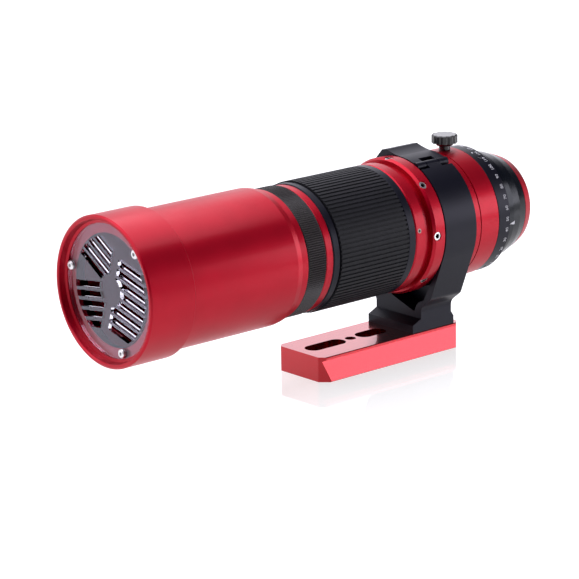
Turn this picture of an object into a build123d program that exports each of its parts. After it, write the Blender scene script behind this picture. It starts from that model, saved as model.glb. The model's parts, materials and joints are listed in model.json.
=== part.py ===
"""Compact refracting telescope with a helical focuser, in a clamshell ring on a dovetail plate.

Millimetres, +Z up. The origin is on the middle line of the dovetail plate's bottom face.
The optical axis lies along +X, from the sky end to the camera end.
"""
from build123d import *
import os
from math import cos, radians, sin, sqrt

# ---------------------------------------------------------------- driving dimensions
# Dovetail plate: the usual 44 mm wide, 15 mm thick section.
plate_front = -53.5
plate_rear = 58.5
plate_height = 15.0
plate_base_half = 22.0
plate_neck_half = 18.1
plate_lip_half = 20.0
plate_lip_height = 2.7
plate_front_half = 16.5
slot_width = 6.6
slot_head_width = 11.3
slot_head_depth = 7.0
front_slot_depth = 9.5
tripod_hole_station = -13.1
tripod_hole_radius = 3.3
foot_screw_stations = (30.0, 44.0)

axis_height = 78.2

# Stations along the optical axis, from the sky end to the camera end.
cap_front = -195.0
mask_front = -190.0
mask_rear = -187.5
ledge_rear = -184.0
nose_front = -176.0
cap_rear = -163.9
objective_front = -112.0
shield_shoulder = -87.9
shield_rear = -84.3
lock_front = -78.1
collar_front = -64.7
collar_rear = -59.4
lip_rear = -54.8
rubber_rear = -1.0
grip_rear = 4.5
housing_rear = 12.6
flange_front = 16.9
ring_front = 26.3
ring_rear = 51.3
body_rear = 72.9
scale_rear = 83.8
adapter_rear = 104.0
end_rear = 111.5

# Outer radii.
cap_radius = 43.1
shield_radius = 40.3
band_radius = 38.1
lock_radius = 38.1
collar_radius = 37.55
grip_radius = 38.85
housing_radius = 38.9
flange_radius = 41.1
ring_radius = 41.4
body_radius = 39.0
scale_radius = 38.6
scale_chamfer = 1.5
adapter_front_radius = 35.4
adapter_rear_radius = 30.5
end_radius = 27.2

# Inner radii and fits.
shield_bore = 39.1
barrel_tail = 33.3
barrel_bore = 31.0
sleeve_radius = 34.6
tube_bore = 31.5
tube_neck = 36.1
ring_bore = 37.2
neck_radius = 31.43
camera_bore = 23.6
lens_rim = 2.2
running_fit = 0.07
end_gap = 0.15

# Screw seats.
lock_screw_station = 65.3
screw_hole = 2.57
screw_shank = 2.5
lug_centre = (39.0, 48.5)
hinge_angle = 112.5
hinge_radius = 39.6
knuckle_radius = 2.7
knuckle_gap = 0.3
hinge_pin_radius = 1.2
middle_knuckle = (33.8, 43.6)

half_section = Plane(origin=(0, 0, axis_height), x_dir=(1, 0, 0), z_dir=(0, -1, 0))
optical_axis = Axis((0, 0, axis_height), (1, 0, 0))
os.makedirs("parts", exist_ok=True)


# ---------------------------------------------------------------- helpers
def across(station):
    """The plane square to the optical axis at a station: local x is +Y, local y is up."""
    return Plane(origin=(station, 0, axis_height), x_dir=(0, 1, 0), z_dir=(1, 0, 0))


def turn(points, mode=Mode.ADD):
    """Turn a closed half-section of (station, radius) points about the optical axis."""
    with BuildSketch(half_section) as section:
        with BuildLine():
            Polyline(*points, close=True)
        make_face()
    revolve(section.sketch, axis=optical_axis, mode=mode)


def turn_lens(front, rear, edge_radius, front_bulge, rear_bulge):
    """A lens with a flat rim between two stations; its faces bulge out of the rim's planes."""
    clear_radius = edge_radius - lens_rim
    with BuildSketch(half_section) as section:
        with BuildLine():
            Line((front - front_bulge, 0), (rear + rear_bulge, 0))
            face_arc(rear, clear_radius, rear_bulge, 1)
            Polyline((rear, clear_radius), (rear, edge_radius), (front, edge_radius), (front, clear_radius))
            face_arc(front, clear_radius, front_bulge, -1)
        make_face()
    revolve(section.sketch, axis=optical_axis)


def face_arc(station, clear_radius, bulge, side):
    """Half of a spherical face, from the axis out to its flat rim."""
    sphere = (clear_radius**2 + bulge**2) / (2 * bulge)
    middle = clear_radius / 2
    drop = sphere - sqrt(sphere**2 - middle**2)
    ThreePointArc((station + side * bulge, 0), (station + side * (bulge - drop), middle),
                  (station, clear_radius))


def write(builder, name):
    """Label a finished piece and write its STEP file."""
    builder.part.label = name
    export_step(builder.part, f"parts/{name}.step")


def polar_point(radius, angle):
    """A point on the across plane, from its radius and its angle in degrees."""
    return (radius * cos(radians(angle)), radius * sin(radians(angle)))


def ring_sector(station, inner, outer, start, stop):
    """A band of a ring between two angles, sketched square to the optical axis."""
    with BuildSketch(across(station)) as sector:
        with BuildLine():
            outside = CenterArc((0, 0), outer, start, stop - start)
            inside = CenterArc((0, 0), inner, start, stop - start)
            Line(outside @ 0, inside @ 0)
            Line(outside @ 1, inside @ 1)
        make_face()
    return sector.sketch


def radial_planes(station, radius, angles):
    """Planes on the tube's surface, each facing straight out of it."""
    planes = []
    for angle in angles:
        y, z = polar_point(radius, angle)
        origin = (station, y, axis_height + z)
        planes.append(Plane(origin=origin, x_dir=(1, 0, 0), z_dir=(0, y, z)))
    return planes


# ---------------------------------------------------------------- cap with the focusing mask
cap_bore = 40.45
band_seat_radius = 39.95
band_front = -174.5
band_rear = -166.5
mask_radius = 38.0
mask_gap = 0.05
mask_screw_circle = 35.0
mask_screw_first_angle = 14.0
window_radius = 32.3
slot_field_radius = 30.8
mask_hub_radius = 9.3
mask_spoke_half = 3.2
mask_slot_width = 3.7
mask_slot_pitch = 5.6
half_slot_angle = 15.5

with BuildPart() as cap_shell:
    turn([
        (cap_front + 0.5, 40.3), (cap_front, 40.8), (cap_front, 42.1), (cap_front + 0.9, cap_radius),
        (cap_rear - 0.8, cap_radius), (cap_rear, 42.3), (cap_rear, cap_bore),
        (nose_front - 0.3, cap_bore), (nose_front - 0.3, shield_bore), (ledge_rear, shield_bore),
        (ledge_rear, window_radius),
        (mask_rear + mask_gap, window_radius), (mask_rear + mask_gap, mask_radius),
        (mask_front - 0.6, mask_radius),
        (mask_front - 1.2, 39.6),
    ])
    with BuildSketch(across(mask_rear)):
        with PolarLocations(mask_screw_circle, 3, mask_screw_first_angle):
            Circle(1.25)
    extrude(amount=3.0, mode=Mode.SUBTRACT)
write(cap_shell, "cap_shell")


def slot_rows(angle, first, count, side, pitch=mask_slot_pitch):
    """One group of parallel slots, kept on its own side of the mask's spoke."""
    with BuildSketch(across(mask_front)) as rows:
        with Locations(Location((0, 0, 0), (0, 0, angle))):
            with Locations(*[(side * slot_field_radius / 2, first - pitch * row) for row in range(count)]):
                Rectangle(slot_field_radius, mask_slot_width)
        Circle(slot_field_radius, mode=Mode.INTERSECT)
        Circle(mask_hub_radius, mode=Mode.SUBTRACT)
        with Locations(Location((0, 0, 0), (0, 0, half_slot_angle))):
            with Locations((-side * (slot_field_radius - mask_spoke_half), 0)):
                Rectangle(2 * slot_field_radius, 3 * slot_field_radius, mode=Mode.SUBTRACT)
    return rows.sketch


with BuildPart() as focus_mask:
    turn([(mask_front, 0), (mask_front, mask_radius - 0.1), (mask_rear, mask_radius - 0.1), (mask_rear, 0)])
    extrude(slot_rows(half_slot_angle, 18.85, 8, -1), amount=3.0, mode=Mode.SUBTRACT)
    extrude(slot_rows(32.0, 19.3, 4, 1), amount=3.0, mode=Mode.SUBTRACT)
    extrude(slot_rows(-7.0, 2.65, 5, 1), amount=3.0, mode=Mode.SUBTRACT)
    with BuildSketch(across(mask_front)):
        with PolarLocations(mask_screw_circle, 3, mask_screw_first_angle):
            Circle(1.6)
    extrude(amount=3.0, mode=Mode.SUBTRACT)
write(focus_mask, "focus_mask")

with BuildPart() as mask_screws:
    with BuildSketch(across(mask_front)):
        with PolarLocations(mask_screw_circle, 3, mask_screw_first_angle):
            Circle(2.75)
    extrude(amount=-1.65)
    fillet(mask_screws.edges().group_by(Axis.X)[0], radius=1.0)
    with BuildSketch(across(mask_front)):
        with PolarLocations(mask_screw_circle, 3, mask_screw_first_angle):
            Circle(1.25)
    extrude(amount=5.2)
    with BuildSketch(across(mask_front - 1.65)):
        with PolarLocations(mask_screw_circle, 3, mask_screw_first_angle):
            RegularPolygon(1.15, 6)
    extrude(amount=1.1, mode=Mode.SUBTRACT)
write(mask_screws, "mask_screws")

with BuildPart() as shield_nose_band:
    turn([(band_front, band_seat_radius), (band_front, cap_bore - running_fit),
          (band_rear, cap_bore - running_fit), (band_rear, band_seat_radius)])
write(shield_nose_band, "shield_nose_band")

# ---------------------------------------------------------------- sliding dew shield
with BuildPart() as dew_shield:
    turn([
        (nose_front, shield_bore), (nose_front, shield_radius - 0.6),
        (nose_front + 0.6, shield_radius), (band_front, shield_radius),
        (band_front, band_seat_radius), (band_rear, band_seat_radius), (band_rear, shield_radius),
        (shield_shoulder, shield_radius), (shield_rear, shield_radius - 0.6),
        (shield_rear, shield_bore),
    ])
write(dew_shield, "dew_shield")

# ---------------------------------------------------------------- front group: barrel and objective
guide_front = -98.0
guide_rear = -91.0
cell_radius = 33.0
cell_rear = -90.0
key_front = -42.0
key_rear = -36.0
key_width = 4.0
key_angles = [30, 150, 270]
focus_travel = 10.0

with BuildPart() as front_barrel:
    turn([
        (objective_front, cell_radius), (objective_front, 37.2), (objective_front + 0.8, 38.0),
        (guide_front, 38.0), (guide_front, 37.2), (guide_rear, 37.2), (guide_rear, 38.0),
        (-86.0, 38.0), (-85.8, band_radius), (lock_front - 0.6, band_radius),
        (lock_front - end_gap, 37.6), (lock_front - end_gap, barrel_tail), (-30.0, barrel_tail),
        (-30.0, barrel_bore), (cell_rear, barrel_bore), (cell_rear, cell_radius),
    ])
    for seat in radial_planes((key_front + key_rear) / 2, 32.0, key_angles):
        with BuildSketch(seat):
            Rectangle(key_rear - key_front, key_width)
        extrude(amount=3.0, mode=Mode.SUBTRACT)
write(front_barrel, "front_barrel")

with BuildPart() as shield_guide:
    turn([(guide_front, 37.2), (guide_front, shield_bore - 0.06), (guide_rear, shield_bore - 0.06),
          (guide_rear, 37.2)])
write(shield_guide, "shield_guide")

lens_edge = 27.0
front_lens_span = (-108.5, -103.5)
rear_element_span = (-101.5, -97.5)

with BuildPart() as objective_cell:
    turn([
        (-111.5, 28.0), (-111.5, cell_radius), (cell_rear, cell_radius), (cell_rear, 25.0),
        (rear_element_span[1], 25.0), (rear_element_span[1], lens_edge),
        (front_lens_span[0], lens_edge), (front_lens_span[0], 28.0),
    ])
write(objective_cell, "objective_cell")

with BuildPart() as objective_retainer:
    turn([(-111.3, 25.9), (-111.3, 28.0), (front_lens_span[0], 28.0), (front_lens_span[0], 25.2)])
write(objective_retainer, "objective_retainer")

with BuildPart() as objective_front_lens:
    turn_lens(*front_lens_span, lens_edge, 2.6, 0.8)
write(objective_front_lens, "objective_front_lens")

with BuildPart() as lens_spacer:
    turn([(front_lens_span[1], 25.6), (front_lens_span[1], lens_edge),
          (rear_element_span[0], lens_edge), (rear_element_span[0], 25.6)])
write(lens_spacer, "lens_spacer")

with BuildPart() as objective_rear_lens:
    turn_lens(*rear_element_span, lens_edge, 0.9, 1.4)
write(objective_rear_lens, "objective_rear_lens")

with BuildPart() as front_baffle:
    turn([(-62.0, 24.0), (-62.0, barrel_bore), (-54.0, barrel_bore), (-54.0, 30.0), (-61.0, 30.0),
          (-61.0, 24.0)])
write(front_baffle, "front_baffle")

with BuildPart() as focus_keys:
    for seat in radial_planes((key_front + key_rear) / 2, 32.0, key_angles):
        with BuildSketch(seat):
            Rectangle(key_rear - key_front, key_width)
        extrude(amount=2.4)
write(focus_keys, "focus_keys")

# ---------------------------------------------------------------- helical focuser
housing_screw_station = 7.4
housing_screw_angles = (52, 172, 292)
knurl_teeth = 180
grip_ribs = 90

with BuildPart() as helicoid_housing:
    turn([
        (lock_front + end_gap, barrel_tail + running_fit), (lock_front + end_gap, sleeve_radius),
        (grip_rear + end_gap, sleeve_radius), (grip_rear + end_gap, housing_radius - 0.6),
        (grip_rear + 0.8, housing_radius), (housing_rear - 0.6, housing_radius),
        (housing_rear, housing_radius - 0.6), (housing_rear, barrel_tail + running_fit),
    ])
    slot_front = key_front - focus_travel - 0.5
    slot_rear = key_rear + 0.5
    for seat in radial_planes((slot_front + slot_rear) / 2, 32.0, key_angles):
        with BuildSketch(seat):
            Rectangle(slot_rear - slot_front, key_width + 0.1)
        extrude(amount=4.0, mode=Mode.SUBTRACT)
    for seat in radial_planes(housing_screw_station, 36.5, housing_screw_angles):
        with BuildSketch(seat):
            Circle(1.4)
        extrude(amount=4.0, mode=Mode.SUBTRACT)
write(helicoid_housing, "helicoid_housing")

with BuildPart() as housing_set_screws:
    for seat in radial_planes(housing_screw_station, 36.5, housing_screw_angles):
        with BuildSketch(seat):
            Circle(1.4)
        extrude(amount=2.4)
        with BuildSketch(seat.offset(1.0)):
            RegularPolygon(0.8, 6)
        extrude(amount=2.0, mode=Mode.SUBTRACT)
write(housing_set_screws, "housing_set_screws")

with BuildPart() as focus_lock_ring:
    turn([
        (lock_front, sleeve_radius + running_fit), (lock_front, lock_radius - 0.5),
        (lock_front + 0.5, lock_radius), (collar_front - end_gap - 0.3, lock_radius),
        (collar_front - end_gap, lock_radius - 0.3),
        (collar_front - end_gap, sleeve_radius + running_fit),
    ])
    with BuildSketch(across(lock_front)):
        with PolarLocations(lock_radius + 0.05, knurl_teeth):
            Rectangle(0.85, 0.85, rotation=45)
    extrude(amount=collar_front - lock_front, mode=Mode.SUBTRACT)
write(focus_lock_ring, "focus_lock_ring")

with BuildPart() as focus_collar:
    turn([
        (collar_front, sleeve_radius), (collar_front, collar_radius - 0.8),
        (collar_front + 0.8, collar_radius), (collar_rear, collar_radius),
        (collar_rear, sleeve_radius),
    ])
write(focus_collar, "focus_collar")

rubber_inner = 36.9
rubber_front = lip_rear + 1.2

with BuildPart() as focus_grip_core:
    turn([
        (collar_rear + end_gap, sleeve_radius + running_fit), (collar_rear + end_gap, 37.2),
        (collar_rear + 0.7, lock_radius), (lip_rear, lock_radius), (lip_rear, rubber_inner),
        (rubber_rear, rubber_inner), (rubber_rear, grip_radius - 0.3),
        (rubber_rear + 0.3, grip_radius), (grip_rear - 0.5, grip_radius),
        (grip_rear, grip_radius - 0.5), (grip_rear, sleeve_radius + running_fit),
    ])
write(focus_grip_core, "focus_grip_core")

with BuildPart() as focus_grip_rubber:
    with BuildSketch(across(rubber_front)):
        Circle(grip_radius)
        with PolarLocations(grip_radius, grip_ribs):
            Rectangle(1.2, 1.15, mode=Mode.SUBTRACT)
        Circle(rubber_inner, mode=Mode.SUBTRACT)
    extrude(amount=rubber_rear - rubber_front)
write(focus_grip_rubber, "focus_grip_rubber")

# ---------------------------------------------------------------- main tube and rear optics
flange_screw_station = 19.8
flange_screw_angles = [45 * step - 0.7 for step in range(8)]

with BuildPart() as main_tube:
    turn([
        (housing_rear, tube_bore), (housing_rear, 37.4), (flange_front, 37.4),
        (flange_front, flange_radius - 1.2), (flange_front + 1.6, flange_radius),
        (ring_front - 0.7, flange_radius), (ring_front - 0.1, flange_radius - 0.6),
        (ring_front - 0.1, tube_neck), (ring_rear, tube_neck), (ring_rear, 34.0), (57.0, 34.0),
        (57.0, tube_bore),
    ])
    for seat in radial_planes(flange_screw_station, 35.5, flange_screw_angles):
        with BuildSketch(seat):
            Circle(2.4)
        extrude(amount=7.0, mode=Mode.SUBTRACT)
        with BuildSketch(seat.offset(flange_radius - 35.5)):
            Circle(2.65)
        extrude(amount=-0.45, mode=Mode.SUBTRACT)
write(main_tube, "main_tube")

with BuildPart() as flange_set_screws:
    for seat in radial_planes(flange_screw_station, 35.5, flange_screw_angles):
        with BuildSketch(seat):
            Circle(2.4)
        extrude(amount=5.1)
        with BuildSketch(seat.offset(2.6)):
            RegularPolygon(1.6, 6)
        extrude(amount=3.0, mode=Mode.SUBTRACT)
write(flange_set_screws, "flange_set_screws")

with BuildPart() as rear_cell:
    turn([(22.0, 25.2), (22.0, tube_bore), (38.0, tube_bore), (38.0, 22.6), (32.0, 22.6),
          (32.0, 24.5), (26.0, 24.5), (26.0, 25.2)])
write(rear_cell, "rear_cell")

with BuildPart() as rear_lens:
    turn_lens(26.0, 32.0, 24.5, 1.8, 0.6)
write(rear_lens, "rear_lens")

with BuildPart() as rear_lens_retainer:
    turn([(23.0, 23.4), (23.0, 25.2), (26.0, 25.2), (26.0, 22.8)])
write(rear_lens_retainer, "rear_lens_retainer")

with BuildPart() as rear_baffle:
    turn([(44.0, 30.4), (44.0, tube_bore), (52.0, tube_bore), (52.0, 21.5), (51.0, 21.5),
          (51.0, 30.4)])
write(rear_baffle, "rear_baffle")

# ---------------------------------------------------------------- dovetail plate
front_slots = ((-47.6, -18.6), (-7.6, 13.8))

with BuildPart() as dovetail_plate:
    with BuildSketch(Plane(origin=(plate_front, 0, 0), x_dir=(0, 1, 0), z_dir=(1, 0, 0))):
        with BuildLine():
            half_outline = Polyline(
                (0, 0), (plate_base_half - 0.5, 0), (plate_base_half, 0.6),
                (plate_neck_half, plate_height - plate_lip_height),
                (plate_lip_half, plate_height - plate_lip_height + 0.9),
                (plate_lip_half, plate_height - 0.4), (plate_lip_half - 0.4, plate_height),
                (0, plate_height))
            mirror(half_outline, about=Plane.YZ)
        make_face()
    extrude(amount=plate_rear - plate_front)
    corner = plate_base_half - plate_front_half
    for end, inward in ((plate_front, 1), (plate_rear, -1)):
        for side in (1, -1):
            with BuildSketch():
                with BuildLine():
                    Polyline((end - inward, side * (plate_front_half - 1)),
                             (end - inward, side * (plate_base_half + 4)),
                             (end + inward * (corner + 4), side * (plate_base_half + 4)),
                             close=True)
                make_face()
            extrude(amount=plate_height, mode=Mode.SUBTRACT)
    for slot_start, slot_stop in front_slots:
        with BuildSketch():
            with Locations(((slot_start + slot_stop) / 2, 0)):
                SlotOverall(slot_stop - slot_start - slot_head_width + slot_width, slot_width)
        extrude(amount=plate_height, mode=Mode.SUBTRACT)
        with BuildSketch(Plane.XY.offset(plate_height)):
            with Locations(((slot_start + slot_stop) / 2, 0)):
                SlotOverall(slot_stop - slot_start, slot_head_width)
        extrude(amount=-front_slot_depth, mode=Mode.SUBTRACT)
    for station in foot_screw_stations:
        with BuildSketch():
            with Locations((station, 0)):
                Circle(slot_width / 2)
        extrude(amount=plate_height, mode=Mode.SUBTRACT)
        with BuildSketch():
            with Locations((station, 0)):
                Circle(slot_head_width / 2)
        extrude(amount=slot_head_depth, mode=Mode.SUBTRACT)
    with Locations((tripod_hole_station, 0, plate_height)):
        Hole(tripod_hole_radius)
write(dovetail_plate, "dovetail_plate")

# ---------------------------------------------------------------- mounting ring
ring_width = ring_rear - ring_front
foot_half = 19.5
foot_front = 19.6
foot_rear = 53.4
foot_step = 19.8
foot_waist = 22.9
lug_front = 31.0
lug_rear = 47.0
lug_outer = 55.0
lug_thickness = 8.2
split_gap = 0.3
# A pocket above a slanting web lightens each face of the foot; the rear one is its mirror image.
pocket_outline = ((6.0, -24.0), (-32.3, -24.0), (-25.4, -36.5), (-21.8, -43.5), (-17.5, -45.4),
                  (-15.6, -47.3), (-13.7, -51.7), (6.0, -44.8))
hinge_y, hinge_z = polar_point(hinge_radius, hinge_angle)
upper_stop = 104.4
lower_start = 119.5

with BuildPart() as ring_lower:
    with BuildSketch(across(ring_front)):
        Circle(ring_radius)
        with BuildSketch(mode=Mode.PRIVATE) as foot:
            with BuildLine():
                side_line = Polyline((0, -15.24), (38.5, -15.24), (27.9, -41.9), (foot_half, -48.5),
                                     (foot_half, plate_height - axis_height),
                                     (0, plate_height - axis_height))
                mirror(side_line, about=Plane.YZ)
            make_face()
            fillet(foot.vertices().filter_by(lambda v: abs(v.Y + 48.5) < 0.1), radius=6)
            fillet(foot.vertices().filter_by(lambda v: abs(v.Y + 41.9) < 0.1), radius=5)
        add(foot.sketch)
    extrude(amount=ring_width)
    with BuildSketch(Plane.XZ.offset(-foot_half)):
        with BuildLine():
            Polyline((foot_front, plate_height), (foot_rear, plate_height), (foot_rear, foot_step),
                     (ring_rear, foot_waist), (ring_front, foot_waist), (foot_front, foot_step),
                     close=True)
        make_face()
    extrude(amount=2 * foot_half)
    with BuildSketch(Plane.XY.offset(axis_height - split_gap - lug_thickness)):
        with Locations(((lug_front + lug_rear) / 2, (ring_bore + lug_outer) / 2)):
            RectangleRounded(lug_rear - lug_front, lug_outer - ring_bore, 3.0)
    extrude(amount=lug_thickness)
    extrude(ring_sector(ring_front, 30.0, 60.0, 0, lower_start), amount=ring_width,
            mode=Mode.SUBTRACT)
    with BuildSketch(across(ring_front)):
        with Locations((lug_outer / 2, -split_gap / 2)):
            Rectangle(lug_outer + 10, split_gap)
    extrude(amount=ring_width, mode=Mode.SUBTRACT)
    extrude(ring_sector(middle_knuckle[0], ring_bore, ring_radius, hinge_angle, lower_start + 2),
            amount=middle_knuckle[1] - middle_knuckle[0])
    with BuildSketch(across(middle_knuckle[0])):
        with Locations((hinge_y, hinge_z)):
            Circle(knuckle_radius)
    extrude(amount=middle_knuckle[1] - middle_knuckle[0])
    with BuildSketch(across(ring_front - 1)):
        Circle(ring_bore)
    extrude(amount=ring_width + 2, mode=Mode.SUBTRACT)
    with BuildSketch(across(ring_front)):
        with Locations((hinge_y, hinge_z)):
            Circle(hinge_pin_radius)
    extrude(amount=ring_width, mode=Mode.SUBTRACT)
    for face_station, side, inward in ((ring_front, 1, 12.0), (ring_rear, -1, -6.0)):
        with BuildSketch(across(face_station)):
            with BuildLine():
                Polyline(*[(side * y, z) for y, z in pocket_outline], close=True)
            make_face()
            Circle(40.2, mode=Mode.SUBTRACT)
        extrude(amount=inward, mode=Mode.SUBTRACT)
    with Locations((*lug_centre, axis_height)):
        Hole(screw_hole, depth=lug_thickness + split_gap)
    for station in foot_screw_stations:
        with BuildSketch(Plane.XY.offset(plate_height)):
            with Locations((station, 0)):
                Circle(2.95)
        extrude(amount=10.0, mode=Mode.SUBTRACT)
write(ring_lower, "ring_lower")

# The ring's top carries a low ridge, whose near side runs smoothly out of the ring.
ridge_near = (-3.0, 41.2)
ridge_middle = (3.0, 42.1)
ridge_top = (9.3, 44.0)
ridge_shoulder = (13.2, 43.2)
ridge_far = (19.7, 36.2)

with BuildPart() as ring_upper:
    extrude(ring_sector(ring_front, ring_bore, ring_radius, 0, upper_stop), amount=ring_width)
    with BuildSketch(across(ring_front)):
        with BuildLine():
            ThreePointArc(ridge_near, ridge_middle, ridge_top)
            Polyline(ridge_top, ridge_shoulder, ridge_far, ridge_near)
        make_face()
    extrude(amount=ring_width)
    fillet(ring_upper.edges().filter_by(Axis.X).group_by(Axis.Z)[-1], radius=0.8)
    with BuildSketch(Plane.XY.offset(axis_height + split_gap)):
        with Locations(((lug_front + lug_rear) / 2, (ring_bore + lug_outer) / 2)):
            RectangleRounded(lug_rear - lug_front, lug_outer - ring_bore, 3.0)
    extrude(amount=lug_thickness)
    for front, rear in ((ring_front, middle_knuckle[0] - knuckle_gap),
                        (middle_knuckle[1] + knuckle_gap, ring_rear)):
        extrude(ring_sector(front, ring_bore, ring_radius, upper_stop - 2, hinge_angle),
                amount=rear - front)
        with BuildSketch(across(front)):
            with Locations((hinge_y, hinge_z)):
                Circle(knuckle_radius)
        extrude(amount=rear - front)
    with BuildSketch(across(ring_front - 1)):
        Circle(ring_bore)
    extrude(amount=ring_width + 2, mode=Mode.SUBTRACT)
    with BuildSketch(across(ring_front)):
        with Locations((hinge_y, hinge_z)):
            Circle(hinge_pin_radius + 0.05)
        with Locations((lug_outer / 2, split_gap / 2)):
            Rectangle(lug_outer + 10, split_gap)
    extrude(amount=ring_width, mode=Mode.SUBTRACT)
    with Locations((*lug_centre, axis_height + split_gap + lug_thickness)):
        Hole(screw_hole, depth=lug_thickness)
write(ring_upper, "ring_upper")

with BuildPart() as hinge_pin:
    with BuildSketch(across(ring_front + 0.3)):
        with Locations((hinge_y, hinge_z)):
            Circle(hinge_pin_radius)
    extrude(amount=ring_width - 0.6)
write(hinge_pin, "hinge_pin")

with BuildPart() as lower_liner:
    extrude(ring_sector(ring_front + 1, tube_neck, ring_bore, lower_start + 1, 359.5),
            amount=ring_width - 2)
write(lower_liner, "lower_liner")

with BuildPart() as upper_liner:
    extrude(ring_sector(ring_front + 1, tube_neck + 0.05, ring_bore, 1.0, upper_stop - 1),
            amount=ring_width - 2)
write(upper_liner, "upper_liner")

with BuildPart() as foot_screws:
    for station in foot_screw_stations:
        with BuildSketch(Plane.XY.offset(1.0)):
            with Locations((station, 0)):
                Circle(5.0)
        extrude(amount=slot_head_depth - 1.0)
        with BuildSketch(Plane.XY.offset(slot_head_depth)):
            with Locations((station, 0)):
                Circle(2.95)
        extrude(amount=16.0)
        with BuildSketch(Plane.XY.offset(1.0)):
            with Locations((station, 0)):
                RegularPolygon(2.9, 6)
        extrude(amount=3.5, mode=Mode.SUBTRACT)
write(foot_screws, "foot_screws")

# ---------------------------------------------------------------- ring clamp
clamp_knob_bottom = axis_height + split_gap + lug_thickness + 0.1
clamp_knob_height = 9.5
clamp_shank_bottom = axis_height + split_gap + 0.2
clamp_shank_top = clamp_knob_bottom + clamp_knob_height - 1.0

with BuildPart() as clamp_knob:
    with BuildSketch(Plane.XY.offset(clamp_knob_bottom)):
        with Locations(lug_centre):
            Circle(4.6)
    extrude(amount=3.0)
    with BuildSketch(Plane.XY.offset(clamp_knob_bottom + 3.0)):
        with Locations(lug_centre):
            Circle(7.0)
            with PolarLocations(7.6, 10):
                Circle(1.3, mode=Mode.SUBTRACT)
    extrude(amount=clamp_knob_height - 3.0)
    with BuildSketch(Plane.XY.offset(clamp_knob_bottom)):
        with Locations(lug_centre):
            Circle(screw_hole)
    extrude(amount=clamp_knob_height - 0.8, mode=Mode.SUBTRACT)
write(clamp_knob, "clamp_knob")

with BuildPart() as clamp_screw:
    with BuildSketch(Plane.XY.offset(clamp_shank_bottom)):
        with Locations(lug_centre):
            Circle(screw_shank)
    extrude(amount=clamp_shank_top - clamp_shank_bottom)
    chamfer(clamp_screw.edges().group_by(Axis.Z)[0], length=0.6)
write(clamp_screw, "clamp_screw")

# ---------------------------------------------------------------- rear body and rotator
retainer_front = 58.3
retainer_rear = 60.85
pocket_rear = 61.0
spigot_radius = 33.0
spigot_rear = 83.6
groove_front = 62.4
groove_rear = 68.2
groove_radius = 30.2
scale_screw_angles = [-124, -4, 116]
scale_screw_station = 78.0

with BuildPart() as rear_body:
    turn([
        (ring_rear + 0.05, 34.0), (ring_rear + 0.05, body_radius - 0.6),
        (ring_rear + 0.7, body_radius), (57.2, body_radius), (57.2, body_radius - 0.5),
        (58.0, body_radius - 0.5), (58.0, body_radius), (body_rear - 0.5, body_radius),
        (body_rear, body_radius - 0.5), (body_rear, spigot_radius), (spigot_rear, spigot_radius),
        (spigot_rear, neck_radius + running_fit), (pocket_rear, neck_radius + running_fit),
        (pocket_rear, spigot_radius), (57.05, spigot_radius), (57.05, 34.0),
    ])
    with BuildSketch(Plane.XY.offset(axis_height + 25)):
        with Locations((lock_screw_station, 0)):
            Circle(screw_hole)
    extrude(amount=20.0, mode=Mode.SUBTRACT)
write(rear_body, "rear_body")

with BuildPart() as scale_ring:
    turn([
        (body_rear + 0.1, spigot_radius), (body_rear + 0.1, scale_radius - 0.4),
        (body_rear + 0.5, scale_radius), (scale_rear - scale_chamfer, scale_radius),
        (scale_rear, scale_radius - scale_chamfer), (scale_rear, spigot_radius),
    ])
    for seat in radial_planes(scale_screw_station, 34.0, scale_screw_angles):
        with BuildSketch(seat):
            Circle(1.1)
        extrude(amount=5.0, mode=Mode.SUBTRACT)
write(scale_ring, "scale_ring")

with BuildPart() as scale_ring_screws:
    for seat in radial_planes(scale_screw_station, 34.0, scale_screw_angles):
        with BuildSketch(seat):
            Circle(1.1)
        extrude(amount=4.1)
        with BuildSketch(seat.offset(2.6)):
            RegularPolygon(0.6, 6)
        extrude(amount=2.0, mode=Mode.SUBTRACT)
write(scale_ring_screws, "scale_ring_screws")

with BuildPart() as rotator_adapter:
    turn([
        (retainer_front, 29.0), (retainer_front, neck_radius), (groove_front, neck_radius),
        (groove_front + 0.6, groove_radius), (groove_rear - 0.6, groove_radius),
        (groove_rear, neck_radius), (scale_rear + end_gap, neck_radius),
        (scale_rear + end_gap, adapter_front_radius - 0.4),
        (scale_rear + 0.6, adapter_front_radius), (90.0, 34.6), (97.0, 32.9),
        (adapter_rear, adapter_rear_radius), (adapter_rear, 26.0), (98.0, 26.0), (98.0, 29.0),
    ])
write(rotator_adapter, "rotator_adapter")

with BuildPart() as camera_ring:
    turn([
        (98.2, camera_bore), (98.2, 26.0), (adapter_rear + 0.05, 26.0),
        (adapter_rear + 0.05, adapter_rear_radius - 0.3), (adapter_rear + 0.4, adapter_rear_radius),
        (108.0, 29.2), (110.2, 28.3), (end_rear, end_radius), (end_rear, camera_bore),
    ])
write(camera_ring, "camera_ring")

with BuildPart() as rotator_retainer:
    turn([(retainer_front, neck_radius), (retainer_front, 32.8), (retainer_rear, 32.8),
          (retainer_rear, neck_radius)])
write(rotator_retainer, "rotator_retainer")

# ---------------------------------------------------------------- rotator lock screw
knob_radius = 7.85
knob_flutes = 12
knob_bottom = 121.6
knob_top = 126.7
neck_bottom = axis_height + body_radius + 0.3
shank_bottom = axis_height + 33.4
pad_bottom = axis_height + groove_radius + 0.2

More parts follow.
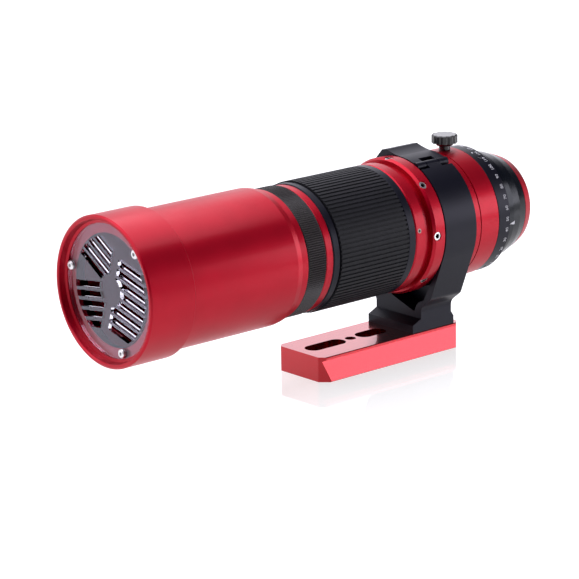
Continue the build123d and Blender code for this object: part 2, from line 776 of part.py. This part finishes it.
with BuildPart() as lock_knob:
    with BuildSketch(Plane.XY.offset(knob_bottom)):
        with Locations((lock_screw_station, 0)):
            Circle(knob_radius)
            with PolarLocations(knob_radius + 0.7, knob_flutes):
                Circle(1.35, mode=Mode.SUBTRACT)
    extrude(amount=knob_top - knob_bottom)
    chamfer(lock_knob.edges().group_by(Axis.Z)[-1], length=0.5)
    with BuildSketch(Plane.XY.offset(knob_bottom)):
        with Locations((lock_screw_station, 0)):
            Circle(6.0)
    extrude(amount=-1.6, taper=35)
    for bottom, top, radius in ((neck_bottom, knob_bottom, 3.5),
                                (shank_bottom, knob_bottom, screw_shank)):
        with BuildSketch(Plane.XY.offset(bottom)):
            with Locations((lock_screw_station, 0)):
                Circle(radius)
        extrude(amount=top - bottom)
    with BuildSketch(Plane.XY.offset(shank_bottom)):
        with Locations((lock_screw_station, 0)):
            Circle(1.3)
    extrude(amount=5.6, mode=Mode.SUBTRACT)
write(lock_knob, "lock_knob")

with BuildPart() as lock_pad:
    for bottom, height, radius in ((pad_bottom, 1.9, 2.45), (pad_bottom + 1.9, 5.0, 1.23)):
        with BuildSketch(Plane.XY.offset(bottom)):
            with Locations((lock_screw_station, 0)):
                Circle(radius)
        extrude(amount=height)
write(lock_pad, "lock_pad")
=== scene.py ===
import json
from math import cos, pi, radians, sin

import bmesh
import bpy
from mathutils import Matrix, Vector


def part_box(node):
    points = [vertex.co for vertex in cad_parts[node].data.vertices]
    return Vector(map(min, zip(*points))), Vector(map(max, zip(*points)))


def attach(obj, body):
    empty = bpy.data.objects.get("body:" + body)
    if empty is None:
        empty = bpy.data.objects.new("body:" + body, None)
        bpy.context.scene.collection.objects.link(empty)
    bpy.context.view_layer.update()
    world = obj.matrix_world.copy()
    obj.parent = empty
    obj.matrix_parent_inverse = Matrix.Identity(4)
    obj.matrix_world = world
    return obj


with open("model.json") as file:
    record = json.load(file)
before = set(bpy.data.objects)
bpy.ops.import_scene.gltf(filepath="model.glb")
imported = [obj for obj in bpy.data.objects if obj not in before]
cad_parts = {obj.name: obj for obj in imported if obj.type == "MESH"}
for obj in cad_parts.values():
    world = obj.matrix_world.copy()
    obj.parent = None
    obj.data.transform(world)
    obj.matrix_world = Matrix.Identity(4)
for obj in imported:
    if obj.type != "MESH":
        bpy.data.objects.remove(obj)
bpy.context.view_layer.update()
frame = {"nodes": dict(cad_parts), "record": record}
nodes = frame["nodes"]

# ---------------------------------------------------------------- camera
VIEW_AZIMUTH = -40.862
VIEW_ELEVATION = 15.197
VIEW_ROLL = -1.087
CAMERA_AT = (-1.05932, -1.15501, 0.46885)
CAMERA_LENS = 169.94


def make_camera():
    data = bpy.data.cameras.new("camera")
    data.lens = CAMERA_LENS
    data.sensor_width = 36.0
    camera = bpy.data.objects.new("camera", data)
    bpy.context.scene.collection.objects.link(camera)
    turn = Matrix.Rotation(radians(VIEW_AZIMUTH), 4, "Z")
    tilt = Matrix.Rotation(radians(90 - VIEW_ELEVATION), 4, "X")
    roll = Matrix.Rotation(radians(VIEW_ROLL), 4, "Z")
    camera.matrix_world = Matrix.Translation(CAMERA_AT) @ turn @ tilt @ roll
    bpy.context.scene.camera = camera


make_camera()

# ---------------------------------------------------------------- light
scene = bpy.context.scene
scene.view_settings.view_transform = "Standard"
ROOM = (0.05, 0.05, 0.058)
BACKDROP = (1.05, 1.04, 1.12)
FALL_START = 0.60
FALL_END = 0.78
SOFTBOX_TINT = (1.0, 0.98, 1.08)


def make_world():
    """A white studio backdrop on the far side, falling off to a dark room on the camera's side."""
    world = bpy.data.worlds.new("studio")
    scene.world = world
    world.use_nodes = True
    tree = world.node_tree
    tree.nodes.clear()
    out = tree.nodes.new("ShaderNodeOutputWorld")
    studio = tree.nodes.new("ShaderNodeBackground")
    backdrop = tree.nodes.new("ShaderNodeBackground")
    seen = tree.nodes.new("ShaderNodeLightPath")
    pick = tree.nodes.new("ShaderNodeMixShader")
    coords = tree.nodes.new("ShaderNodeTexCoord")
    split = tree.nodes.new("ShaderNodeSeparateXYZ")
    depth = tree.nodes.new("ShaderNodeMapRange")
    fall = tree.nodes.new("ShaderNodeValToRGB")
    tree.links.new(coords.outputs["Generated"], split.inputs[0])
    depth.inputs["From Min"].default_value = -1.0
    depth.inputs["From Max"].default_value = 1.0
    tree.links.new(split.outputs["Y"], depth.inputs["Value"])
    tree.links.new(depth.outputs["Result"], fall.inputs["Fac"])
    ramp = fall.color_ramp
    ramp.elements[0].position = 0.0
    ramp.elements[0].color = (*ROOM, 1)
    ramp.elements[1].position = 1.0
    ramp.elements[1].color = (*BACKDROP, 1)
    for position, colour in ((FALL_START, ROOM), (FALL_END, BACKDROP)):
        step = ramp.elements.new(position)
        step.color = (*colour, 1)
    tree.links.new(fall.outputs["Color"], studio.inputs["Color"])
    backdrop.inputs["Color"].default_value = (1, 1, 1, 1)
    tree.links.new(seen.outputs["Is Camera Ray"], pick.inputs["Fac"])
    tree.links.new(studio.outputs["Background"], pick.inputs[1])
    tree.links.new(backdrop.outputs["Background"], pick.inputs[2])
    tree.links.new(pick.outputs["Shader"], out.inputs["Surface"])


def make_softbox(name, at, aim, size, radiance):
    """A rectangular softbox; an area light's power is its radiance times pi times its area."""
    data = bpy.data.lights.new(name, "AREA")
    data.shape = "RECTANGLE"
    data.size = size[0]
    data.size_y = size[1]
    data.energy = radiance * pi * size[0] * size[1]
    data.color = SOFTBOX_TINT
    light = bpy.data.objects.new(name, data)
    scene.collection.objects.link(light)
    light.location = at
    light.rotation_euler = (Vector(aim) - Vector(at)).to_track_quat("-Z", "Y").to_euler()
    return light


make_world()
make_softbox("overhead", (-0.33, 0.14, 0.62), (-0.33, 0.14, 0.0), (1.32, 0.76), 2.4)
make_softbox("side", (0.74, -0.58, 0.25), (0.0, -0.38, 0.25), (0.72, 0.38), 4.1)
rear_box = make_softbox("rear", (1.05, 0.8, 0.5), (1.05, 0.0, 0.5), (1.0, 1.0), 0.45)
rear_box.visible_camera = False


# ---------------------------------------------------------------- node helpers
AXIS_HEIGHT = (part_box("main_tube")[0][2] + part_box("main_tube")[1][2]) / 2


class Material:
    """A node material with a Principled shader and short ways to add procedural detail."""

    def __init__(self, name, colour, roughness, metallic=0.0, **sockets):
        self.data = bpy.data.materials.new(name)
        self.data.use_nodes = True
        self.tree = self.data.node_tree
        self.shader = self.tree.nodes["Principled BSDF"]
        self.colour = colour
        self.shader.inputs["Base Color"].default_value = (*colour, 1)
        self.shader.inputs["Roughness"].default_value = roughness
        self.shader.inputs["Metallic"].default_value = metallic
        for socket, value in sockets.items():
            self.shader.inputs[socket.replace("_", " ")].default_value = value
        self.coords = self.tree.nodes.new("ShaderNodeTexCoord")
        self.height = None

    def node(self, kind, **values):
        made = self.tree.nodes.new(kind)
        for socket, value in values.items():
            made.inputs[socket.replace("_", " ")].default_value = value
        return made

    def link(self, source, target):
        self.tree.links.new(source, target)

    def noise(self, scale, detail, stretch=(1, 1, 1)):
        mapping = self.node("ShaderNodeMapping", Scale=stretch)
        self.link(self.coords.outputs["Object"], mapping.inputs["Vector"])
        noise = self.node("ShaderNodeTexNoise", Scale=scale, Detail=detail)
        self.link(mapping.outputs["Vector"], noise.inputs["Vector"])
        return noise.outputs["Fac"]

    def vary_colour(self, factor, darker, lighter):
        ramp = self.node("ShaderNodeValToRGB")
        ramp.color_ramp.elements[0].position = 0.3
        ramp.color_ramp.elements[1].position = 0.7
        ramp.color_ramp.elements[0].color = (*[c * darker for c in self.colour], 1)
        ramp.color_ramp.elements[1].color = (*[min(1, c * lighter) for c in self.colour], 1)
        self.link(factor, ramp.inputs["Fac"])
        self.link(ramp.outputs["Color"], self.shader.inputs["Base Color"])

    def vary_roughness(self, factor, low, high):
        spread = self.node("ShaderNodeMapRange", To_Min=low, To_Max=high)
        self.link(factor, spread.inputs["Value"])
        self.link(spread.outputs["Result"], self.shader.inputs["Roughness"])

    def axis_distance(self):
        """How far a point is from the optical axis."""
        split = self.node("ShaderNodeSeparateXYZ")
        self.link(self.coords.outputs["Object"], split.inputs[0])
        lifted = self.node("ShaderNodeMath")
        lifted.operation = "SUBTRACT"
        lifted.inputs[1].default_value = AXIS_HEIGHT
        self.link(split.outputs["Z"], lifted.inputs[0])
        across_axis = self.node("ShaderNodeCombineXYZ")
        self.link(split.outputs["Y"], across_axis.inputs["Y"])
        self.link(lifted.outputs[0], across_axis.inputs["Z"])
        radius = self.node("ShaderNodeVectorMath")
        radius.operation = "LENGTH"
        self.link(across_axis.outputs[0], radius.inputs[0])
        return radius.outputs["Value"]

    def compare(self, operation, value, limit):
        """One where the value passes the test, and zero elsewhere."""
        test = self.node("ShaderNodeMath")
        test.operation = operation
        test.inputs[1].default_value = limit
        self.link(value, test.inputs[0])
        return test.outputs[0]

    def blend_colour(self, factor, colour):
        """Turn the base colour into another one where the factor is one."""
        mix = self.node("ShaderNodeMix")
        mix.data_type = "RGBA"
        current = self.shader.inputs["Base Color"].links[0].from_socket
        self.link(factor, mix.inputs["Factor"])
        self.link(current, mix.inputs["A"])
        mix.inputs["B"].default_value = (*colour, 1)
        self.link(mix.outputs["Result"], self.shader.inputs["Base Color"])

    def bump(self, factor, strength, distance):
        bump = self.node("ShaderNodeBump", Strength=strength, Distance=distance)
        self.link(factor, bump.inputs["Height"])
        if self.height is not None:
            self.link(self.height, bump.inputs["Normal"])
        self.height = bump.outputs["Normal"]
        self.link(self.height, self.shader.inputs["Normal"])


def anodised(name, colour, roughness, grain, metallic=1.0, **sockets):
    """Bead-blasted, dyed aluminium: fine grain, slight mottling and a thin clear oxide skin."""
    made = Material(name, colour, roughness, metallic, **sockets)
    made.vary_colour(made.noise(*MOTTLE), 0.95, 1.05)
    made.vary_roughness(made.noise(260, 3), roughness - 0.03, roughness + 0.04)
    made.bump(made.noise(*GRAIN), grain, GRAIN_DEPTH)
    return made.data


def make_plate():
    """Machined and dyed aluminium: fine cutter streaks run along the plate."""
    made = Material("plate_red", (0.405, 0.006, 0.013), 0.2, 1.0, Coat_Weight=0.7, Coat_Roughness=0.05)
    made.vary_colour(made.noise(*MOTTLE), 0.95, 1.05)
    made.vary_roughness(made.noise(900, 3, ALONG_PLATE), 0.12, 0.3)
    made.bump(made.noise(700, 2, ALONG_PLATE), 0.05, 0.00004)
    return made.data


MOTTLE = (60, 4)
GRAIN = (2600, 2)
GRAIN_DEPTH = 0.00006
ALONG_PLATE = (0.02, 1, 1)
RED = (0.42, 0.0006, 0.015)
RED_ROUGHNESS = 0.50
RED_GRAIN = 0.12
RED_COAT = {"Coat_Weight": 0.32, "Coat_Roughness": 0.22}
red = anodised("red_anodised", RED, RED_ROUGHNESS, RED_GRAIN, **RED_COAT)
plate = make_plate()
knob = anodised("knob_black", (0.005, 0.004, 0.005), 0.42, 0.1, 0.0,
                Coat_Weight=0.78, Coat_Roughness=0.12)
black = anodised("black_anodised", (0.004, 0.004, 0.009), 0.36, 0.15, 0.0,
                 Specular_IOR_Level=0.2, Specular_Tint=(0.86, 0.86, 1.0, 1.0))
gloss = anodised("gloss_black", (0.003, 0.004, 0.007), 0.2, 0.03, 0.0,
                 Specular_IOR_Level=0.17, Specular_Tint=(0.85, 0.92, 1.0, 1.0))
knurled = anodised("knurled_black", (0.014, 0.0087, 0.0095), 0.36, 0.15, 0.0, Specular_IOR_Level=0.4)
inner = anodised("inner_black", (0.010, 0.010, 0.011), 0.65, 0.2, 0.0)


def make_rubber():
    made = Material("grip_rubber", (0.006, 0.006, 0.009), 0.52, Specular_IOR_Level=0.24)
    made.vary_colour(made.noise(90, 5), 0.8, 1.25)
    made.vary_roughness(made.noise(400, 4), 0.5, 0.66)
    made.bump(made.noise(1500, 4), 0.4, 0.0001)
    return made.data


def make_steel(name, colour, roughness, shaded_socket_radius=None):
    """Turned steel; inside a given distance from the optical axis, a screw's socket is painted
    near-black as painted shade.
    """
    made = Material(name, colour, roughness, 1.0)
    made.vary_colour(made.noise(500, 3), 0.9, 1.05)
    made.vary_roughness(made.noise(900, 3, (1, 1, 6)), roughness - 0.07, roughness + 0.1)
    made.bump(made.noise(3000, 2), 0.1, 0.00004)
    if shaded_socket_radius is not None:
        socket_shade_mask = made.compare("LESS_THAN", made.axis_distance(), shaded_socket_radius)
        # painted shade: the screw socket is coloured near-black
        made.blend_colour(socket_shade_mask, (0.01, 0.01, 0.01))
    return made.data


def make_felt():
    made = Material("felt", (0.02, 0.02, 0.021), 0.95, Sheen_Weight=0.4)
    made.vary_colour(made.noise(800, 6), 0.6, 1.6)
    made.bump(made.noise(1800, 6), 0.8, 0.0003)
    return made.data


def make_glass(name, colour, roughness, ior):
    made = Material(name, colour, roughness, 0.0, Transmission_Weight=1.0, IOR=ior)
    made.vary_roughness(made.noise(300, 2), max(0.0, roughness - 0.01), roughness + 0.02)
    return made.data


def make_acrylic():
    """Smoky clear sheet: lets most light through, keeps a grey body and polished cut walls."""
    made = Material("clear_acrylic", (0.88, 0.85, 0.97), 0.02, 0.0, Transmission_Weight=1.0, IOR=1.49,
                    Specular_Tint=(0.86, 0.83, 1.0, 1.0))
    made.vary_colour(made.noise(40, 2), 0.97, 1.03)
    made.vary_roughness(made.noise(200, 2), 0.01, 0.04)
    return made.data


def red_and_black(name, shade_test):
    """The red finish, painted near-black as painted shade where a test of the point's place is true.
    """
    made = Material(name, RED, RED_ROUGHNESS, 1.0, **RED_COAT)
    made.vary_colour(made.noise(*MOTTLE), 0.95, 1.05)
    made.bump(made.noise(*GRAIN), RED_GRAIN, GRAIN_DEPTH)
    split = made.node("ShaderNodeSeparateXYZ")
    made.link(made.coords.outputs["Object"], split.inputs[0])
    # painted shade: near-black colour where the place test holds
    made.blend_colour(shade_test(made, split.outputs["X"]), (0.006, 0.006, 0.006))
    return made.data


def behind_mask(made, station):
    """The cap's bore from just behind the mask: the recess that gets painted shade."""
    both = made.node("ShaderNodeMath")
    both.operation = "MULTIPLY"
    made.link(made.compare("LESS_THAN", made.axis_distance(), CAP_BORE_RADIUS), both.inputs[0])
    made.link(made.compare("GREATER_THAN", station, mask_high[0] + MASK_MARGIN), both.inputs[1])
    return both.outputs[0]


def held_by_ring(made, station):
    """The tube's neck from just in front of the ring: where it runs under the ring, it gets painted
    shade.
    """
    return made.compare("GREATER_THAN", station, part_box("ring_upper")[0][0] - RING_MARGIN)


# radius inside which the flange screws' sockets get painted shade
FLANGE_SHADED_SOCKET_RADIUS = 0.0396
CAP_BORE_RADIUS = 0.0407
MASK_MARGIN = 0.0003
RING_MARGIN = 0.00005
rubber = make_rubber()
steel = make_steel("steel", (0.75, 0.75, 0.76), 0.33)
screw_steel = make_steel("screw_steel", (0.75, 0.75, 0.76), 0.33, FLANGE_SHADED_SOCKET_RADIUS)
set_steel = make_steel("set_screw_steel", (0.3, 0.23, 0.21), 0.42)
brass = make_steel("brass", (0.62, 0.45, 0.2), 0.3)
felt = make_felt()
lens_glass = make_glass("lens_glass", (0.93, 0.98, 0.96), 0.0, 1.52)
acrylic = make_acrylic()
mask_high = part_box("focus_mask")[1]

finish_of_slot = {
    "red_anodised": red, "plate_red": plate, "black_anodised": black, "gloss_black": gloss,
    "inner_black": inner, "grip_rubber": rubber, "steel": steel, "brass": brass,
    "lens_glass": lens_glass, "clear_acrylic": acrylic, "felt": felt,
}
for part in frame["record"]["subparts"]:
    mesh = nodes[part["node"]].data
    mesh.materials.clear()
    mesh.materials.append(finish_of_slot[part["material_slot"]])
for name in ("lock_knob", "clamp_knob"):
    nodes[name].data.materials[0] = knob
# painted shade on the cap's bore behind the mask
nodes["cap_shell"].data.materials[0] = red_and_black("cap_red_with_painted_shade", behind_mask)
nodes["focus_lock_ring"].data.materials[0] = knurled
# painted shade on the tube where it runs under the ring
nodes["main_tube"].data.materials[0] = red_and_black("tube_red_with_painted_shade", held_by_ring)
nodes["flange_set_screws"].data.materials[0] = screw_steel
nodes["housing_set_screws"].data.materials[0] = set_steel


# ---------------------------------------------------------------- printed marks
def make_print():
    made = Material("print_white", (0.6, 0.6, 0.64), 0.5)
    made.vary_colour(made.noise(1800, 3), 0.85, 1.1)
    made.bump(made.noise(2600, 2), 0.2, 0.00003)
    return made.data


def wrap_point(station, radius, angle, along, up, out):
    """Wrap a flat mark on the tube: its tops face the sky end, and it reads up the near side."""
    turned = radians(angle) - along / radius
    reach = radius + out
    return Vector((station - up, reach * cos(turned), AXIS_HEIGHT + reach * sin(turned)))


def new_piece(name, mesh, body, material):
    mesh.materials.clear()
    mesh.materials.append(material)
    piece = bpy.data.objects.new(name, mesh)
    scene.collection.objects.link(piece)
    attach(piece, body)


def number_mesh(number, height):
    """One number as a flat solid, centred on the origin."""
    text = bpy.data.curves.new("number", "FONT")
    text.body = str(number)
    text.size = height
    text.extrude = PRINT_DEPTH
    text.align_x = "CENTER"
    text.align_y = "CENTER"
    text.resolution_u = 2
    holder = bpy.data.objects.new("number", text)
    scene.collection.objects.link(holder)
    bpy.context.view_layer.update()
    mesh = bpy.data.meshes.new_from_object(holder.evaluated_get(bpy.context.evaluated_depsgraph_get()))
    bpy.data.objects.remove(holder)
    bpy.data.curves.remove(text)
    return mesh


def make_scale_numbers():
    """The rotator's angle scale: a number every ten degrees round the ring."""
    whole = bmesh.new()
    for number in range(0, 360, 10):
        mesh = number_mesh(number, SCALE_TEXT_SIZE)
        shape = bmesh.new()
        shape.from_mesh(mesh)
        for vertex in shape.verts:
            along, up, out = vertex.co
            vertex.co = wrap_point(SCALE_TEXT_STATION, SCALE_RADIUS, SCALE_ZERO_ANGLE - number,
                                   along, up, out)
        shape.to_mesh(mesh)
        shape.free()
        whole.from_mesh(mesh)
        bpy.data.meshes.remove(mesh)
    bmesh.ops.remove_doubles(whole, verts=whole.verts, dist=1e-7)
    bmesh.ops.recalc_face_normals(whole, faces=whole.faces)
    mesh = bpy.data.meshes.new("scale_numbers")
    whole.to_mesh(mesh)
    whole.free()
    new_piece("scale_numbers", mesh, "root", print_white)


def make_mark(name, outline, station, radius, angle, body, cone_slope=0.0):
    """A thin printed patch on the tube or on a cone, from its flat outline."""
    shape = bmesh.new()
    rings = []
    for out in (-PRINT_DEPTH, PRINT_DEPTH):
        ring = []
        for along, up in outline:
            point = wrap_point(station, radius, angle, along, up, out + cone_slope * up)
            ring.append(shape.verts.new(point))
        rings.append(ring)
    shape.faces.new(rings[0][::-1])
    shape.faces.new(rings[1])
    for here in range(len(outline)):
        after = (here + 1) % len(outline)
        shape.faces.new((rings[0][here], rings[0][after], rings[1][after], rings[1][here]))
    bmesh.ops.recalc_face_normals(shape, faces=shape.faces)
    mesh = bpy.data.meshes.new(name)
    shape.to_mesh(mesh)
    shape.free()
    new_piece(name, mesh, body, print_white)


def make_thread(name, body, start, radius, depth, pitch, turns, along, material):
    """A screw thread's ridge, running along the inside of a hole as one closed strip."""
    shape = bmesh.new()
    side = along.orthogonal().normalized()
    other = along.cross(side)
    profile = ((THREAD_ROOT, -THREAD_FLANK), (-depth, 0.0), (THREAD_ROOT, THREAD_FLANK))
    rings = []
    steps = int(turns * THREAD_STEPS)
    for step in range(steps + 1):
        angle = 2 * pi * step / THREAD_STEPS
        spoke = side * cos(angle) + other * sin(angle)
        taper = min(1.0, step / THREAD_LEAD, (steps - step) / THREAD_LEAD)
        ring = []
        for inward, offset in profile:
            reach = radius + (inward * taper if inward < 0 else inward)
            shift = step / THREAD_STEPS + offset
            ring.append(shape.verts.new(start + spoke * reach + along * (shift * pitch)))
        rings.append(ring)
    for here, after in zip(rings, rings[1:]):
        for edge in range(3):
            other_edge = (edge + 1) % 3
            shape.faces.new((here[edge], here[other_edge], after[other_edge], after[edge]))
    shape.faces.new(rings[0][::-1])
    shape.faces.new(rings[-1])
    bmesh.ops.recalc_face_normals(shape, faces=shape.faces)
    mesh = bpy.data.meshes.new(name)
    shape.to_mesh(mesh)
    shape.free()
    for face in mesh.polygons:
        face.use_smooth = False
    new_piece(name, mesh, body, material)


print_white = make_print()
PRINT_DEPTH = 0.00004
SCALE_RADIUS = (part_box("scale_ring")[1][2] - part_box("scale_ring")[0][2]) / 2
SCALE_TEXT_SIZE = 0.0030
SCALE_TEXT_STATION = 0.0803
SCALE_ZERO_ANGLE = 230.0
DOT_STATION = 0.0771
DOT_ANGLE = 107.5
DOT_RADIUS = 0.0006
DOT_STEPS = 24
INDEX_STATION = 0.0884
INDEX_RADIUS = 0.03484
INDEX_ANGLE = 188.0
INDEX_HALF_LENGTH = 0.0024
INDEX_HALF_WIDTH = 0.0012
ADAPTER_SLOPE = 0.151
THREAD_STEPS = 96
THREAD_LEAD = 12
THREAD_ROOT = 0.00003
THREAD_FLANK = 0.42
CAMERA_THREAD_SETBACK = 0.0062
make_scale_numbers()
dot_angles = [2 * pi * step / DOT_STEPS for step in range(DOT_STEPS)]
dot = [(DOT_RADIUS * cos(angle), DOT_RADIUS * sin(angle)) for angle in dot_angles]
make_mark("scale_dot", dot, DOT_STATION, SCALE_RADIUS, DOT_ANGLE, "root")
pointer = [(0.0, INDEX_HALF_LENGTH), (-INDEX_HALF_WIDTH, -INDEX_HALF_LENGTH),
           (INDEX_HALF_WIDTH, -INDEX_HALF_LENGTH)]
make_mark("index_mark", pointer, INDEX_STATION, INDEX_RADIUS, INDEX_ANGLE, "rotator", ADAPTER_SLOPE)
camera_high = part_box("camera_ring")[1]
camera_thread_start = Vector((camera_high[0] - CAMERA_THREAD_SETBACK, 0, AXIS_HEIGHT))
make_thread("camera_thread", "rotator", camera_thread_start, radius=0.0236, depth=0.00035,
            pitch=0.00075, turns=7, along=Vector((1, 0, 0)), material=red)
tripod_thread_start = Vector((-0.0131, 0, 0.0008))
make_thread("tripod_hole_thread", "root", tripod_thread_start, radius=0.0033, depth=0.00045,
            pitch=0.00127, turns=10, along=Vector((0, 0, 1)), material=plate)


# ---------------------------------------------------------------- floor
def make_floor():
    """A pale glossy floor just under the object, which glows to a clean white."""
    bpy.ops.mesh.primitive_grid_add(x_subdivisions=4, y_subdivisions=4, size=FLOOR_SIZE,
                                    location=(0, 0, -FLOOR_GAP))
    floor = bpy.context.object
    floor.name = "floor"
    made = Material("floor_white", (0.5, 0.5, 0.5), 0.12, Emission_Strength=0.68)
    made.shader.inputs["Emission Color"].default_value = (1, 1, 1, 1)
    made.vary_roughness(made.noise(3, 2), 0.03, 0.05)
    floor.data.materials.append(made.data)


FLOOR_SIZE = 12
FLOOR_GAP = 0.0002
make_floor()
